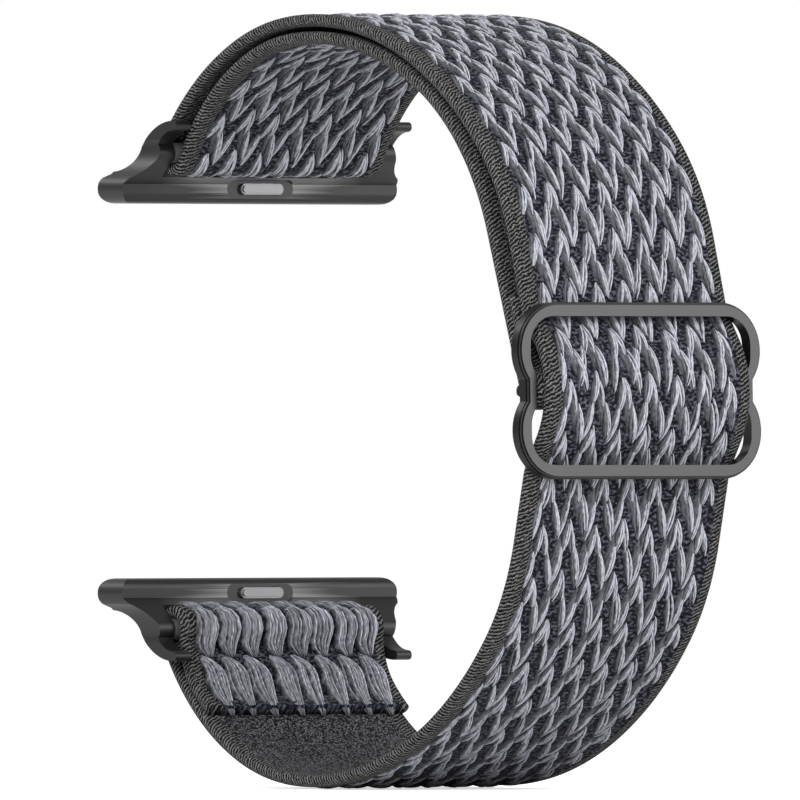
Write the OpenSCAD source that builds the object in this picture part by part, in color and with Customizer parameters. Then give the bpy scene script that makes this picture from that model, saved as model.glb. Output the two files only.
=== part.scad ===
// Elastic nylon watch strap: one webbing, a two-window slider and two sprung case adapters.
// Frame: X runs from the case to the slider, Y across the strap, Z up towards 12 o'clock.
// The origin is the centre of the loop, where the wrist goes. Millimetres.

/* [Webbing] */
// Width of the webbing
web_w = 22; // [18:0.5:26]
// Thickness of the webbing
web_t = 1.1; // [0.9:0.05:1.3]
// Radius of the outer face of the loop
loop_r = 33.5; // [32:0.5:37]
// Gap between the outer run and the return run at the top
layer_gap = 0.4; // [0.3:0.05:0.6]
// Angle, up from the slider, at which the loop starts to draw in to the case
draw_in = 95; // [90:1:100]
// Angle on the draw-in arc where the sewn fold-back starts to lie on the run
fold_touch = 136; // [133:1:139]
// Angle on the draw-in arc where the sewn fold-back ends
fold_end = 129; // [125:1:131]

/* [Slider] */
// Angle of the slider above the loop's middle
slider_angle = 1.5; // [-10:0.5:10]
// Width of the slider's side wires and its outer bars
wire_w = 1.2; // [1:0.1:1.6]
// Thickness of the slider's frame
frame_t = 1.2; // [1:0.1:1.6]
// Height of each window
window_h = 5.9; // [5.4:0.1:6.8]
// Room beside the webbing in a window, each side
window_side = 0.9; // [0.6:0.1:1.5]
// Diameter of the centre bar
centre_d = 1.0; // [0.8:0.1:1.2]
// How far the frame's front face stands inside the loop's outer face
front_in = 0.15; // [-0.3:0.05:0.4]
// Radius of the windows' corners
window_r = 2.5; // [1.5:0.1:2.9]
// Depth of the waist between the two windows
waist_in = 0.85; // [0.4:0.05:1.2]
// How far the centre bar's axis stands behind the frame's back face
bar_back = 0.25; // [0:0.05:0.4]
// Radius of the edges of the slider's outer bars
edge_r = 0.35; // [0.2:0.05:0.45]
// Length of the webbing's tail that is sewn up behind the centre bar
tail_len = 9; // [7:0.5:10]

/* [Adapters] */
// How far the bars stand inside the loop's circle, front to back
bar_in = 13.7; // [13.2:0.1:14.8]
// Half of the distance between the two bars
bar_half = 20.75; // [20:0.05:21.5]
// How far the case's middle stands above the loop's
case_z = 0.85; // [0:0.05:1.5]
// Depth of the insert, front to back of the case
insert_t = 3.6; // [3.4:0.1:4]
// Height of the insert
insert_h = 2.6; // [2.4:0.1:2.9]
// Length of the insert
insert_l = 30; // [29:0.5:32]
// Distance from the bar to the insert's middle, towards the front
insert_dx = 3.5; // [3.3:0.1:4]
// Distance from the bar to the insert's middle, towards the case's middle
insert_dz = 3.1; // [3:0.1:3.5]
// Height of the ear's crown above the bar
crown_z = 2.8; // [2.5:0.1:3.2]
// How far the ear's horn reaches over the loop, forward of the bar
horn_x = 2.9; // [2.4:0.1:3.4]
// Thickness of the horn
horn_t = 0.85; // [0.7:0.05:1.1]
// Metal round the bar's tip, as a radius
boss_r = 0.95; // [0.9:0.05:1.1]
// Thickness of each ear
ear_t = 1.6; // [1.5:0.1:2]
// Room between the webbing's edge and the ear
ear_room = 0.25; // [0.2:0.05:0.4]

/* [Spring bars] */
// Outer diameter of the tube
tube_d = 1.8; // [1.6:0.05:1.9]
// Inner diameter of the tube
tube_bore = 1.3; // [1.2:0.05:1.35]
// Diameter of the tip that stands in the ear
tip_d = 0.8; // [0.7:0.05:0.9]
// How far a tip stands into the ear, and so its travel
tip_reach = 1.0; // [0.9:0.05:1.1]
// Wire of the springs
spring_wire = 0.2; // [0.18:0.01:0.22]
// Running clearance of the pieces that turn or slide
run_clear = 0.05; // [0.03:0.01:0.08]

/* [Latches] */
// Length of the latch button's head
latch_l = 4.6; // [4:0.1:5.5]
// Height of the latch button's head
latch_h = 0.95; // [0.85:0.05:1]
// How far the head stands out of the insert
latch_out = 0.5; // [0.4:0.05:0.6]
// Thickness of the latch cover
cover_t = 0.5; // [0.4:0.05:0.6]

/* [Hidden] */
$fn = 96;

// Directions and turns in the XZ plane, where a point is [x, z]
function dir(a) = [cos(a), sin(a)];
function angle_of(v) = atan2(v.y, v.x);

// Lengths of one webbing are joined by turns: each second one runs into its neighbours by
// lap, and is thinner by join_step on every face, so that it ends inside them
lap = 0.1;
join_step = 0.01;
// Gap that the seams leave between a sewn-down tail and the layer that it lies on
sewn_gap = 0.02;
// Places that follow the loop, front to back
front_x = loop_r - front_in;
bar_x = loop_r - bar_in;
// Mid-lines of the two layers of webbing, as radii about the loop's centre
outer_mid = loop_r - web_t / 2;
return_mid = loop_r - 1.5 * web_t - layer_gap;
// Mid-line of a loop of webbing round a bar, as a radius about the bar
loop_mid = tube_d / 2 + run_clear + web_t / 2;
fold_mid = centre_d / 2 + run_clear + web_t / 2;

// Radius of the arc that touches the circle of radius r about c at angle a, and the
// loop of radius loop_mid about the bar b: from inside with side -1, outside with 1
function joining_r(c, r, b, a, side) =
    let (k = (b - c) * dir(a))
    (r * r - 2 * r * k + (b - c) * (b - c) - loop_mid * loop_mid) / (2 * (r - k + side * loop_mid));

// A bar's place, seen with its own adapter upwards: the lower one is built mirrored
function bar_at(up) = [-bar_x, bar_half + (up ? case_z : -case_z)];
function outer_arc_r(up) = joining_r([0, 0], outer_mid, bar_at(up), draw_in, -1);
function outer_arc_c(up) = (outer_mid - outer_arc_r(up)) * dir(draw_in);
function return_arc_r(up) = joining_r([0, 0], return_mid, bar_at(up), draw_in, 1);
function return_arc_c(up) = (return_mid - return_arc_r(up)) * dir(draw_in);

// Lines along which the layers run up to the slider, as the angle of their normals
outer_lean = 15;
return_lean = 17.4;
outer_leave = 40;
return_leave = 60;
under_gap = 0.5;
bar_c = [front_x - frame_t - bar_back, 0];
frame_h = 2 * window_h + 2 * wire_w + centre_d;
frame_w = web_w + 2 * window_side + 2 * wire_w;
lobe_r = window_h / 2 + wire_w;
lobe_z = (centre_d + window_h) / 2;
outer_bar_z = frame_h / 2 - wire_w / 2;
// Lugs of the centre bar, from beside the webbing to inside the waist's outline
lug_room = 0.35;
lug_edge = 0.2;
lug_in = web_w / 2 + lug_room;
lug_out = frame_w / 2 - waist_in - lug_edge;
waist_open = 1.4;
// Where the webbing bends under an outer bar, on its outer face
bend = [front_x - frame_t - under_gap, outer_bar_z];
bend_r = 3;
crest_r = 8;
crest_x = bar_c.x + fold_mid + web_t / 2 + run_clear + web_t;
// The crossing's slope, from the arc over the centre bar that touches the line to the bend
slope_run = crest_x - crest_r - bend.x;
slope = atan2(bend.y, -slope_run) - acos(crest_r / norm([slope_run, bend.y]));
// The join between the crossing and the runs, beyond the slider's frame
join_len = 2.4;
outer_d = bend * dir(outer_lean) - web_t / 2;
outer_cos = cos(outer_leave - outer_lean);
outer_turn_r = (outer_d - outer_mid * outer_cos) / (1 - outer_cos);
outer_turn_c = (outer_mid - outer_turn_r) * dir(outer_leave);
outer_turn_end = outer_turn_c + outer_turn_r * dir(outer_lean);
bend_c = bend + (bend_r / cos((slope - outer_lean) / 2)) * dir((slope + outer_lean) / 2);
bend_mid = bend_r + web_t / 2;
bend_end = bend_c - bend_mid * dir(outer_lean);
up_run = [-sin(outer_lean), cos(outer_lean)];
outer_join = bend_end + join_len * up_run;
crest_c = [crest_x - crest_r, 0];
crest_mid = crest_r - web_t / 2;
// The return run's line passes the centre bar on its wrist side
return_d = bar_c * dir(return_lean) - fold_mid;
return_cos = cos(return_leave - return_lean);
return_turn_r = (return_d - return_mid * return_cos) / (1 - return_cos);
return_turn_c = (return_mid - return_turn_r) * dir(return_leave);
return_turn_end = return_turn_c + return_turn_r * dir(return_lean);
up_return = [-sin(return_lean), cos(return_lean)];
wrap_start = bar_c - fold_mid * dir(return_lean);
return_join = wrap_start + tail_len * up_return;
// The tail bends back to lie on the return run
tail_r = 3;
tail_turn = acos(1 - (2 * fold_mid - web_t - sewn_gap) / (fold_mid + tail_r));
tail_a = return_lean + tail_turn;
tail_c = bar_c + (fold_mid + tail_r) * dir(tail_a);
tail_start = tail_c - tail_r * dir(return_lean);
tail_end = wrap_start + (web_t + sewn_gap) * dir(return_lean) + (tail_len - 0.5) * up_return;

// Adapter, seen from its bar: the insert's middle and what the ears and pocket leave
ear_in = web_w / 2 + ear_room;
ear_out = ear_in + ear_t;
insert_c = [-insert_dx, -insert_dz];
insert_edge = 0.9;
insert_front = insert_t / 2;
insert_end_r = insert_h / 2;
// The ear is a horn: its back is a wide arc, its front is scooped out over the loop
crown_r = 6;
crown_c = [horn_x, crown_z - crown_r];
crown_low = 0.8;
above = 1;
scoop_r = 2.8;
scoop_c = [horn_x, crown_z - horn_t - scoop_r];
flank_r = 2.95;
flank_c = [-insert_dx - 1.15, insert_end_r - insert_dz + flank_r + 0.2];
// Pocket for the loop, a slot that is open from below the front to behind the top
pocket_r = loop_mid + web_t / 2 + 0.25;
pocket_open = 290;
pocket_close = 200;
// From the front an arc sweeps up from the insert's rounded end to the ear; it cuts a
// little into both, and the fillet under it stops where it leaves the insert's end
shoulder_r = 3;
shoulder_dip = 0.05;
end_y = insert_l / 2 - insert_end_r;
shoulder_reach = shoulder_r + insert_end_r - shoulder_dip;
shoulder_dy = ear_out + shoulder_r - shoulder_dip - end_y;
shoulder_c = [end_y + shoulder_dy,
    sqrt(pow(shoulder_reach, 2) - pow(shoulder_dy, 2)) - insert_dz];
meet_y = end_y + shoulder_dy * insert_end_r / (shoulder_r + insert_end_r);
// Bar inside: lengths along Y
tube_half = ear_in - 0.15;
point_l = 0.16;
lip_t = 0.3;
tip_head_l = 1.2;
head_d = tube_bore - 2 * run_clear;
tip_out = ear_in + tip_reach;
head_in = tube_half - lip_t - tip_head_l;
// Latch inside
flange_t = 0.5;
flange_edge = 0.2;
flange_end = 0.5;
head_edge = 0.15;
cavity_back = 0.6;
cover_end = 1.3;
cover_rim = 0.32;
cover_half = latch_l / 2 + cover_end;
cover_r = latch_h / 2 + cover_rim;

// Cross-section of the webbing: flat faces and round woven edges, thickness along x
module web_section(thinner) {
    t = web_t - 2 * thinner;
    square([t, web_w - web_t], center = true);
    for (s = [-1, 1]) translate([0, s * (web_w - web_t) / 2]) circle(d = t);
}

// A length of webbing bent about the point c, from angle a0 to angle a1. With in0 or in1
// that end runs into its neighbour, which then has no run-on there.
module web_arc(c, r, a0, a1, in0 = 0, in1 = 0) {
    on = lap / r * 180 / PI;
    translate([c.x, 0, c.y]) rotate([90, 0, 0]) rotate([0, 0, a0 - in0 * on])
        rotate_extrude(angle = a1 - a0 + (in0 + in1) * on)
            translate([r, 0]) web_section(max(in0, in1) * join_step);
}

// A straight length of webbing from p to q, with the same run-on
module web_line(p, q, in0 = 0, in1 = 0) {
    translate([p.x, 0, p.y]) rotate([0, 90 - angle_of(q - p), 0]) translate([0, 0, -in0 * lap])
        linear_extrude(norm(q - p) + (in0 + in1) * lap) web_section(max(in0, in1) * join_step);
}

// What follows the slider round the loop is drawn with the slider level
module at_slider() { rotate([0, -slider_angle, 0]) children(); }
module below(up = false) { if (up) children(); else mirror([0, 0, 1]) children(); }
module across(w) { rotate([90, 0, 0]) linear_extrude(w, center = true) children(); }

// Webbing

// One end: round the bar's loop and along the drawn-in arc of the outer layer
module loop_round_bar(up, inner_c, inner_r, inner_stop) {
    b = bar_at(up);
    web_arc(outer_arc_c(up), outer_arc_r(up), draw_in, angle_of(b - outer_arc_c(up)));
    web_arc(b, loop_mid, angle_of(b - outer_arc_c(up)), 360 + angle_of(inner_c - b), in0 = 1, in1 = 1);
    web_arc(inner_c, inner_r, inner_stop, 180 + angle_of(inner_c - b));
}

module upper_webbing_loop() {
    color("dimgray") loop_round_bar(true, return_arc_c(true), return_arc_r(true), draw_in);
}

module lower_webbing_end() {
    // the fold-back leaves the bar on a small arc and then lies on the run, where it is sewn
    b = bar_at(false);
    oc = outer_arc_c(false);
    fold_r = outer_arc_r(false) - web_t - sewn_gap;
    small_r = joining_r(oc, fold_r, b, fold_touch, 1);
    small_c = oc + (fold_r - small_r) * dir(fold_touch);
    color("slategray") below() {
        web_arc(oc, outer_arc_r(false), draw_in, angle_of(b - oc));
        web_arc(b, loop_mid, angle_of(b - oc), 360 + angle_of(small_c - b), in0 = 1, in1 = 1);
        web_arc(small_c, small_r, fold_touch, 180 + angle_of(small_c - b));
        web_arc(oc, fold_r, fold_end, fold_touch, in1 = 1);
    }
}

// From the drawn-in end round the loop to the join below or above the slider
module outer_run(start) {
    web_arc([0, 0], outer_mid, outer_leave, start);
    web_arc(outer_turn_c, outer_turn_r, outer_lean, outer_leave, in0 = 1, in1 = 1);
    web_line(outer_join, outer_turn_end);
}

module upper_webbing_run() {
    color("slategray") at_slider() outer_run(draw_in - slider_angle);
}

module lower_webbing_run() {
    color("slategray") at_slider() below() outer_run(draw_in + slider_angle);
}

module return_webbing_run() {
    color("dimgray") at_slider() {
        web_arc([0, 0], return_mid, return_leave, draw_in - slider_angle);
        web_arc(return_turn_c, return_turn_r, return_lean, return_leave, in0 = 1, in1 = 1);
        web_line(return_join, return_turn_end);
    }
}

// Under one outer bar, over the centre bar and under the other outer bar
module slider_webbing() {
    crest_end = crest_c + crest_mid * dir(slope);
    color("slategray") at_slider() {
        web_arc(crest_c, crest_mid, -slope, slope, in0 = 1, in1 = 1);
        for (up = [true, false]) below(up) {
            web_line(crest_end, bend_c - bend_mid * dir(slope));
            web_arc(bend_c, bend_mid, 180 + outer_lean, 180 + slope, in0 = 1, in1 = 1);
            web_line(bend_end, outer_join);
        }
    }
}

// Round the centre bar and back up, sewn to the return run
module slider_webbing_fold() {
    color("dimgray") at_slider() {
        web_line(wrap_start, return_join);
        web_arc(bar_c, fold_mid, return_lean - 180, tail_a, in0 = 1, in1 = 1);
        web_arc(tail_c, tail_r, 180 + return_lean, 180 + tail_a);
        web_line(tail_start, tail_end, in0 = 1);
    }
}

// Slider

module obround(half, r) {
    square([2 * (half - r), 2 * r], center = true);
    for (s = [-1, 1]) translate([s * (half - r), 0]) circle(r);
}

module rounded_window() {
    half = [frame_w / 2 - wire_w, window_h / 2];
    square(2 * half - [2 * window_r, 0], center = true);
    square(2 * half - [0, 2 * window_r], center = true);
    for (sy = [-1, 1], sz = [-1, 1])
        translate([sy * (half.x - window_r), sz * (half.y - window_r)]) circle(window_r);
}

// Outline of the frame: two lobes one above the other, with their waist filled a little
module slider_outline(inset = 0) {
    for (s = [-1, 1]) translate([0, s * lobe_z]) obround(frame_w / 2 - inset, lobe_r - inset);
    square([frame_w - 2 * waist_in - 2 * inset, frame_h - 2 * lobe_r], center = true);
}

module slider_buckle() {
    back = front_x - frame_t;
    lug_reach = front_x - edge_r - bar_c.x;
    color([0.3, 0.3, 0.31]) at_slider() {
        difference() {
            // the edge is broken in two steps, as a tumbled stamping's is
            translate([back, 0, 0]) rotate([90, 0, 90]) {
                linear_extrude(frame_t - edge_r) slider_outline();
                linear_extrude(frame_t - edge_r * 0.4) slider_outline(edge_r * 0.2);
                linear_extrude(frame_t) slider_outline(edge_r * 0.7);
            }
            for (s = [-1, 1]) translate([back - 1, 0, s * lobe_z]) rotate([90, 0, 90])
                linear_extrude(frame_t + 2) rounded_window();
            // between the windows the frame is open, because the centre bar is set back
            translate([back + frame_t / 2, 0, 0])
                cube([frame_t + 2, 2 * lug_in, 2 * waist_open], center = true);
        }
        // round-backed lugs at the waist carry the centre bar behind the frame
        for (s = [-1, 1]) translate([bar_c.x, s * (lug_in + lug_out) / 2, 0]) across(lug_out - lug_in) {
            circle(d = centre_d);
            translate([0, -centre_d / 2]) square([lug_reach, centre_d]);
        }
        translate([bar_c.x, 0, 0]) across(lug_in + lug_out) circle(d = centre_d);
    }
}

// Adapters

// Places its child at the upper or the lower bar
module at_bar(up) {
    below(up) translate([bar_at(up).x, 0, bar_at(up).y]) children();
}

// Side outline: insert, neck with a hollow flank, boss round the bar and the horn
module adapter_side() {
    difference() {
        union() {
            for (sx = [-1, 1], sz = [-1, 1])
                translate(insert_c + [sx * (insert_t / 2 - insert_edge), sz * (insert_h / 2 - insert_edge)])
                    circle(insert_edge);
            translate(insert_c) square([insert_t - 2 * insert_edge, insert_h], center = true);
            translate(insert_c) square([insert_t, insert_h - 2 * insert_edge], center = true);
            difference() {
                intersection() {
                    translate(crown_c) circle(crown_r);
                    translate([-insert_dx, -crown_low])
                        square([insert_dx + horn_x, crown_low + crown_z + above]);
                }
                translate(scoop_c) circle(scoop_r);
            }
            translate([horn_x, crown_z - horn_t / 2]) circle(horn_t / 2 - 0.02);
            circle(boss_r);
            polygon([insert_c + [insert_t / 2, insert_end_r - insert_edge], boss_r * dir(-45), [0, 0],
                [flank_c.x, 0], [flank_c.x, insert_c.y]]);
        }
        translate(flank_c) circle(flank_r);
    }
}

// Outline from the front: a long insert whose ends sweep up in an S to the ears
module adapter_front() {
    difference() {
        union() {
            translate([0, -insert_dz]) obround(insert_l / 2, insert_end_r);
            translate([-ear_out, -insert_dz]) square([2 * ear_out, insert_dz + crown_z + above]);
            for (s = [-1, 1]) translate([s * (ear_in + meet_y) / 2, (shoulder_c.y - insert_dz) / 2])
                square([meet_y - ear_in, shoulder_c.y + insert_dz], center = true);
        }
        for (s = [-1, 1]) translate([s * shoulder_c.x, shoulder_c.y]) circle(shoulder_r);
    }
}

module adapter(up) {
    color([0.28, 0.28, 0.29]) at_bar(up) difference() {
        intersection() {
            across(insert_l + 1) adapter_side();
            translate([-12, 0, 0]) rotate([90, 0, 90]) linear_extrude(24) adapter_front();
        }
        across(2 * ear_in) {
            circle(pocket_r);
            polygon([[0, 0], for (a = [pocket_open : 25 : 360 + pocket_close]) 9 * dir(a),
                9 * dir(pocket_close)]);
        }
        // blind holes for the bar's tips
        across(2 * (tip_out + 0.1)) circle(d = tip_d + 2 * run_clear);
        // latch: a pill-shaped cavity with a seat for its cover
        translate([insert_c.x + insert_front, 0, insert_c.y]) rotate([90, 0, 90]) {
            translate([0, 0, -cover_t]) linear_extrude(cover_t + 1) obround(cover_half, cover_r);
            translate([0, 0, -insert_t + cavity_back]) linear_extrude(insert_t)
                obround(latch_l / 2 + flange_end + 2 * run_clear, latch_h / 2 + flange_edge + run_clear);
        }
    }
}

module latch_cover(up) {
    color([0.4, 0.4, 0.41]) at_bar(up) translate([insert_c.x + insert_front - cover_t, 0, insert_c.y])
        rotate([90, 0, 90]) linear_extrude(cover_t) difference() {
            obround(cover_half, cover_r);
            obround(latch_l / 2 + run_clear, latch_h / 2 + run_clear);
        }
}

module latch_button(up) {
    color([0.45, 0.45, 0.46]) at_bar(up)
        translate([insert_c.x + insert_front - cover_t - flange_t, 0, insert_c.y]) rotate([90, 0, 90]) {
            linear_extrude(flange_t) obround(latch_l / 2 + flange_end, latch_h / 2 + flange_edge);
            linear_extrude(flange_t + cover_t + latch_out - head_edge) obround(latch_l / 2, latch_h / 2);
            linear_extrude(flange_t + cover_t + latch_out)
                obround(latch_l / 2 - head_edge, latch_h / 2 - head_edge);
        }
}

// A helical spring along Z: one unbroken tube of a six-sided wire, its ends capped flat
module coil_spring(mean_r, wire, len, turns, rings) {
    n = turns * rings;
    sides = 6;
    rise = len - wire;
    pts = [for (i = [0 : n], j = [0 : sides - 1])
        let (a = 360 * i / rings, t = 360 * j / sides, r = mean_r + wire / 2 * cos(t))
        [r * cos(a), r * sin(a), wire / 2 + rise * i / n + wire / 2 * sin(t)]];
    walls = [for (i = [0 : n - 1], j = [0 : sides - 1], half = [0, 1])
        let (a = i * sides + j, b = i * sides + (j + 1) % sides)
        half == 0 ? [a, a + sides, b + sides] : [a, b + sides, b]];
    caps = [[for (j = [0 : sides - 1]) j], [for (j = [0 : sides - 1]) n * sides + sides - 1 - j]];
    polyhedron(pts, concat(walls, caps));
}

module latch_springs(up) {
    spring_len = insert_t - cavity_back - cover_t - flange_t;
    color("silver") at_bar(up)
        for (s = [-1, 1]) translate([insert_c.x - insert_front + cavity_back, s * latch_l / 4, insert_c.y])
            rotate([0, 90, 0]) coil_spring(0.45, spring_wire, spring_len, 4, 12);
}

// Spring bars

module bar_tube(up) {
    color([0.5, 0.5, 0.51]) at_bar(up) difference() {
        across(2 * tube_half) circle(d = tube_d);
        across(2 * (tube_half - lip_t)) circle(d = tube_bore);
        across(2 * tube_half + 1) circle(d = tip_d + 2 * run_clear);
    }
}

// A tip: a head that slides in the tube and a pin that passes its lip and enters the ear
module bar_tip(up, s) {
    color([0.6, 0.6, 0.61]) at_bar(up) scale([1, s, 1]) rotate([90, 0, 0]) {
        translate([0, 0, head_in]) cylinder(h = tip_head_l, d = head_d);
        translate([0, 0, head_in]) cylinder(h = tip_out - head_in - point_l + join_step, d = tip_d);
        translate([0, 0, tip_out - point_l]) cylinder(h = point_l, d1 = tip_d, d2 = tip_d - 2 * point_l);
    }
}

module bar_spring(up) {
    color("silver") at_bar(up) translate([0, head_in, 0]) rotate([90, 0, 0])
        coil_spring(head_d / 2 - spring_wire / 2 - run_clear, spring_wire, 2 * head_in, 16, 10);
}

module upper_adapter() { adapter(true); }
module upper_bar_tube() { bar_tube(true); }
module upper_bar_tip_near() { bar_tip(true, 1); }
module upper_bar_tip_far() { bar_tip(true, -1); }
module upper_bar_spring() { bar_spring(true); }
module upper_latch_cover() { latch_cover(true); }
module upper_latch_button() { latch_button(true); }
module upper_latch_springs() { latch_springs(true); }
module lower_adapter() { adapter(false); }
module lower_bar_tube() { bar_tube(false); }
module lower_bar_tip_near() { bar_tip(false, 1); }
module lower_bar_tip_far() { bar_tip(false, -1); }
module lower_bar_spring() { bar_spring(false); }
module lower_latch_cover() { latch_cover(false); }
module lower_latch_button() { latch_button(false); }
module lower_latch_springs() { latch_springs(false); }

lower_webbing_end();
lower_webbing_run();
slider_webbing();
upper_webbing_run();
upper_webbing_loop();
return_webbing_run();
slider_webbing_fold();
slider_buckle();
upper_adapter();
upper_bar_tube();
upper_bar_tip_near();
upper_bar_tip_far();
upper_bar_spring();
upper_latch_cover();
upper_latch_button();
upper_latch_springs();
lower_adapter();
lower_bar_tube();
lower_bar_tip_near();
lower_bar_tip_far();
lower_bar_spring();
lower_latch_cover();
lower_latch_button();
lower_latch_springs();
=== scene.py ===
import bpy
import numpy as np
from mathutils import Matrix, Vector


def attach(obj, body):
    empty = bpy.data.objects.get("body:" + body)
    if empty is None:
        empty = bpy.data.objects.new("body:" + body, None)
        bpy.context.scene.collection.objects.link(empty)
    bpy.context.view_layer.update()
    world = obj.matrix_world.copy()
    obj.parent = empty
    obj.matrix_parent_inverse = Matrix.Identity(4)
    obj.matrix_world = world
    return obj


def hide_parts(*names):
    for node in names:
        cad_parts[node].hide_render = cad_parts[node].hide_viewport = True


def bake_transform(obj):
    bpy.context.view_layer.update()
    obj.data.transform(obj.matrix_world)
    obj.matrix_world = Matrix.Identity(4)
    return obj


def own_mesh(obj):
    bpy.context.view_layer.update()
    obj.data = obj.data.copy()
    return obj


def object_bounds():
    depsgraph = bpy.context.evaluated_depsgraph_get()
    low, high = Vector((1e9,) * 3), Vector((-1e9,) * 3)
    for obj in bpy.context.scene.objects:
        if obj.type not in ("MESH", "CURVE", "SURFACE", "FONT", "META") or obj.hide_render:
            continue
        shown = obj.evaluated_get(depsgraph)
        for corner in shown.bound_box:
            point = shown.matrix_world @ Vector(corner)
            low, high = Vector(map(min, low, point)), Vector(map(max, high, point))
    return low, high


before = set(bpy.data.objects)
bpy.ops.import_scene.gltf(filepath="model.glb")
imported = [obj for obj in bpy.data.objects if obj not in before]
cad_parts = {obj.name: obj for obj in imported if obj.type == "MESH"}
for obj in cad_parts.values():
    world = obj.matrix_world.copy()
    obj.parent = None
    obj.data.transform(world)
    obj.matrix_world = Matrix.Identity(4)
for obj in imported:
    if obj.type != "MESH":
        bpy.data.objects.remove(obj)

cad_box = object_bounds()

# Camera: a long lens two and a half metres off, level with the loop. It stands between the
# slider's face and the strap's near edge, and is aimed a little beside the loop's centre.
camera_azimuth = np.radians(53.0)
camera_distance = 2.5
view_width = 0.0695
aim_right, aim_up = -0.00070, 0.00006
toward_camera = Vector((np.sin(camera_azimuth), -np.cos(camera_azimuth), 0.0))
image_right = Vector((np.cos(camera_azimuth), np.sin(camera_azimuth), 0.0))
aim = aim_right * image_right + Vector((0.0, 0.0, aim_up))
camera = bpy.data.objects.new("camera", bpy.data.cameras.new("camera"))
camera.data.lens = camera.data.sensor_width * camera_distance / view_width
camera.location = aim + camera_distance * toward_camera
camera.rotation_mode = "QUATERNION"
camera.rotation_quaternion = (-toward_camera).to_track_quat("-Z", "Y")
camera.data.clip_start, camera.data.clip_end = 0.05, 20.0
bpy.context.scene.collection.objects.link(camera)
bpy.context.scene.camera = camera


# Adapters: each is a steel rail that slides endways into a slot, with two ears that hold
# the strap's bar. They are cast or milled, tumbled to a satin face and coated dark grey.
def new_finish(name):
    """A fresh material, with its nodes, its links and its shader."""
    material = bpy.data.materials.new(name)
    material.use_nodes = True
    nodes, links = material.node_tree.nodes, material.node_tree.links
    return material, nodes, links, nodes["Principled BSDF"]


def emboss(nodes, links, pattern, strength, depth):
    """Raises the surface where the pattern is bright, by up to depth. Its bump is given back."""
    bump = nodes.new("ShaderNodeBump")
    bump.inputs["Strength"].default_value = strength
    bump.inputs["Distance"].default_value = depth
    links.new(pattern, bump.inputs["Height"])
    links.new(bump.outputs["Normal"], nodes["Principled BSDF"].inputs["Normal"])
    return bump


def metal(name, colour, roughness, grain_scale, grain_depth, painted_edge_shade=None, front=None):
    """A coated or plain metal: fine grain in the bump, slow cloudiness in the roughness, and a painted shade
    on its outer edges and on the small faces between them, dark outlines where the edges turn from the
    light. With front, a direction and a distance, the painted shade is on all that lies behind that front
    face instead."""
    material, nodes, links, shader = new_finish(name)
    shader.inputs["Metallic"].default_value = 0.85
    coordinates = nodes.new("ShaderNodeTexCoord")
    clouds = nodes.new("ShaderNodeTexNoise")
    clouds.inputs["Scale"].default_value = 180.0
    clouds.inputs["Detail"].default_value = 3.0
    links.new(coordinates.outputs["Object"], clouds.inputs["Vector"])
    rough = nodes.new("ShaderNodeMapRange")
    rough.inputs["To Min"].default_value = roughness - 0.05
    rough.inputs["To Max"].default_value = roughness + 0.07
    links.new(clouds.outputs["Fac"], rough.inputs["Value"])
    links.new(rough.outputs["Result"], shader.inputs["Roughness"])
    tint = nodes.new("ShaderNodeMix")
    tint.data_type = "RGBA"
    tint.inputs["A"].default_value = (*[0.86 * c for c in colour], 1.0)
    tint.inputs["B"].default_value = (*[min(1.0, 1.14 * c) for c in colour], 1.0)
    links.new(clouds.outputs["Fac"], tint.inputs["Factor"])
    base = tint.outputs["Result"]
    # painted shade: a darker colour on the edges, or on all behind the front face, stands in for light
    # falling off there
    if painted_edge_shade is not None:
        edge = nodes.new("ShaderNodeMapRange")
        edge.inputs["To Max"].default_value = 0.95
        if front is None:
            geometry = nodes.new("ShaderNodeNewGeometry")
            edge.inputs["From Min"].default_value = 0.525
            edge.inputs["From Max"].default_value = 0.57
            links.new(geometry.outputs["Pointiness"], edge.inputs["Value"])
        else:
            way, distance = front
            shade_starts, shade_is_full = 0.00005, 0.00012
            depth = nodes.new("ShaderNodeVectorMath")
            depth.operation = "DOT_PRODUCT"
            depth.inputs[1].default_value = way
            edge.inputs["From Min"].default_value = distance - shade_starts
            edge.inputs["From Max"].default_value = distance - shade_is_full
            links.new(coordinates.outputs["Object"], depth.inputs[0])
            links.new(depth.outputs["Value"], edge.inputs["Value"])
        edge_shaded = nodes.new("ShaderNodeMix")
        edge_shaded.data_type = "RGBA"
        edge_shaded.inputs["B"].default_value = (painted_edge_shade, painted_edge_shade, painted_edge_shade, 1.0)
        links.new(base, edge_shaded.inputs["A"])
        links.new(edge.outputs["Result"], edge_shaded.inputs["Factor"])
        base = edge_shaded.outputs["Result"]
    links.new(base, shader.inputs["Base Color"])
    grain = nodes.new("ShaderNodeTexNoise")
    grain.inputs["Scale"].default_value = grain_scale
    grain.inputs["Detail"].default_value = 2.0
    links.new(coordinates.outputs["Object"], grain.inputs["Vector"])
    emboss(nodes, links, grain.outputs["Fac"], 0.35, grain_depth)
    return material


def finish_nodes(material, *names):
    """Gives CAD nodes a finish in place of their plain colour, and smooths their round faces."""
    for name in names:
        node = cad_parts[name]
        node.data.materials.clear()
        node.data.materials.append(material)
        node.data.polygons.foreach_set("use_smooth", np.ones(len(node.data.polygons), bool))
        node.data.set_sharp_from_angle(angle=np.radians(32.0))


# the adapters' rounded edges get a painted shade, dark outlines put into their colour
coated_steel = metal("coated steel", (0.190, 0.190, 0.193), 0.38, 9000.0, 0.00001, painted_edge_shade=0.040)
finish_nodes(coated_steel, "upper_adapter", "lower_adapter")

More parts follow.
